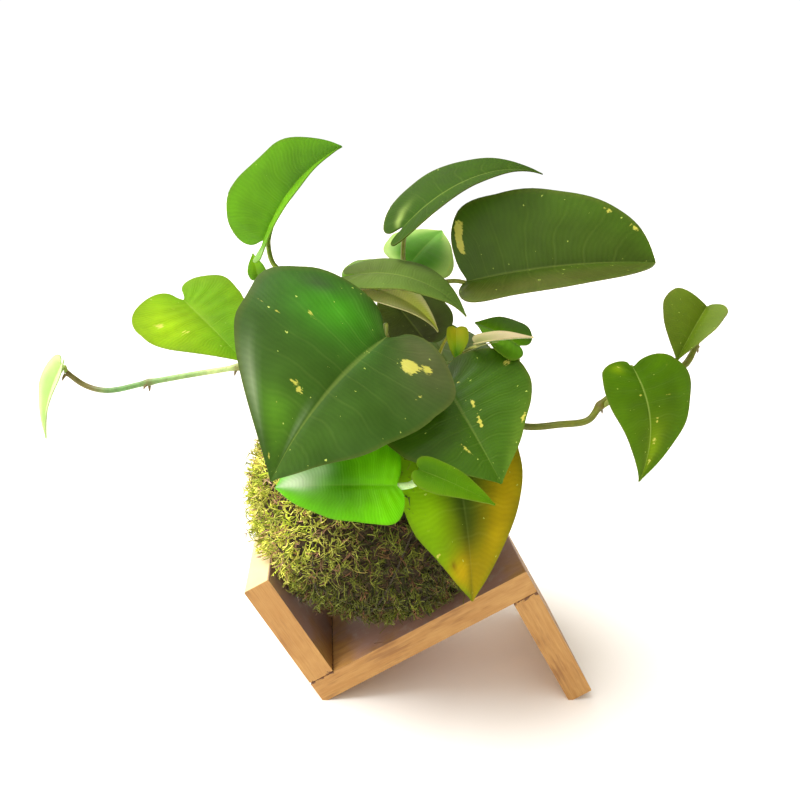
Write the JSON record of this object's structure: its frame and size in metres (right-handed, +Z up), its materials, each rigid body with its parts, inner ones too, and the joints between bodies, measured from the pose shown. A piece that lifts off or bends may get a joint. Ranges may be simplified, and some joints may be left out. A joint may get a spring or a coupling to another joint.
{
  "type": "moss ball house plant on a tilted wooden stand",
  "caption": "Trailing heart-leaved house plant growing from a cord-bound moss ball that lies in the corner of a tilted wooden stand.",
  "frame": {"origin": "on the ground, middle of the planed flat under the low edge of the seat board", "axes": "+Z up, +X along the stand from its low end to its leg, +Y to the back; the picture looks along +Y"},
  "size_m": [0.2824, 0.1571, 0.2409],
  "materials": {
    "board": "satin",
    "peg": "matte",
    "moss": "matte",
    "soil": "matte",
    "cord": "matte",
    "vine": "satin",
    "leaf": "satin"
  },
  "bodies": {
    "root": {"seat_board": "board", "end_board": "board", "leg_board": "board", "peg_end_front": "peg", "peg_end_back": "peg", "peg_leg_front": "peg", "peg_leg_back": "peg", "moss_cover": "moss", "soil_core": "soil", "binding_cord": "cord", "vine_front": "vine", "vine_middle": "vine", "vine_left": "vine", "vine_upper": "vine", "vine_top": "vine", "vine_back": "vine", "vine_right": "vine", "leaf_01": "leaf", "leaf_02": "leaf", "leaf_03": "leaf", "leaf_04": "leaf", "leaf_05": "leaf", "leaf_06": "leaf", "leaf_07": "leaf", "leaf_08": "leaf", "leaf_09": "leaf", "leaf_10": "leaf", "leaf_11": "leaf", "leaf_12": "leaf", "leaf_13": "leaf", "leaf_14": "leaf", "leaf_15": "leaf", "leaf_16": "leaf", "leaf_17": "leaf", "leaf_18": "leaf", "leaf_19": "leaf", "leaf_20": "leaf", "leaf_21": "leaf", "leaf_22": "leaf", "leaf_23": "leaf", "leaf_24": "leaf", "leaf_25": "leaf"}
  },
  "joints": []
}
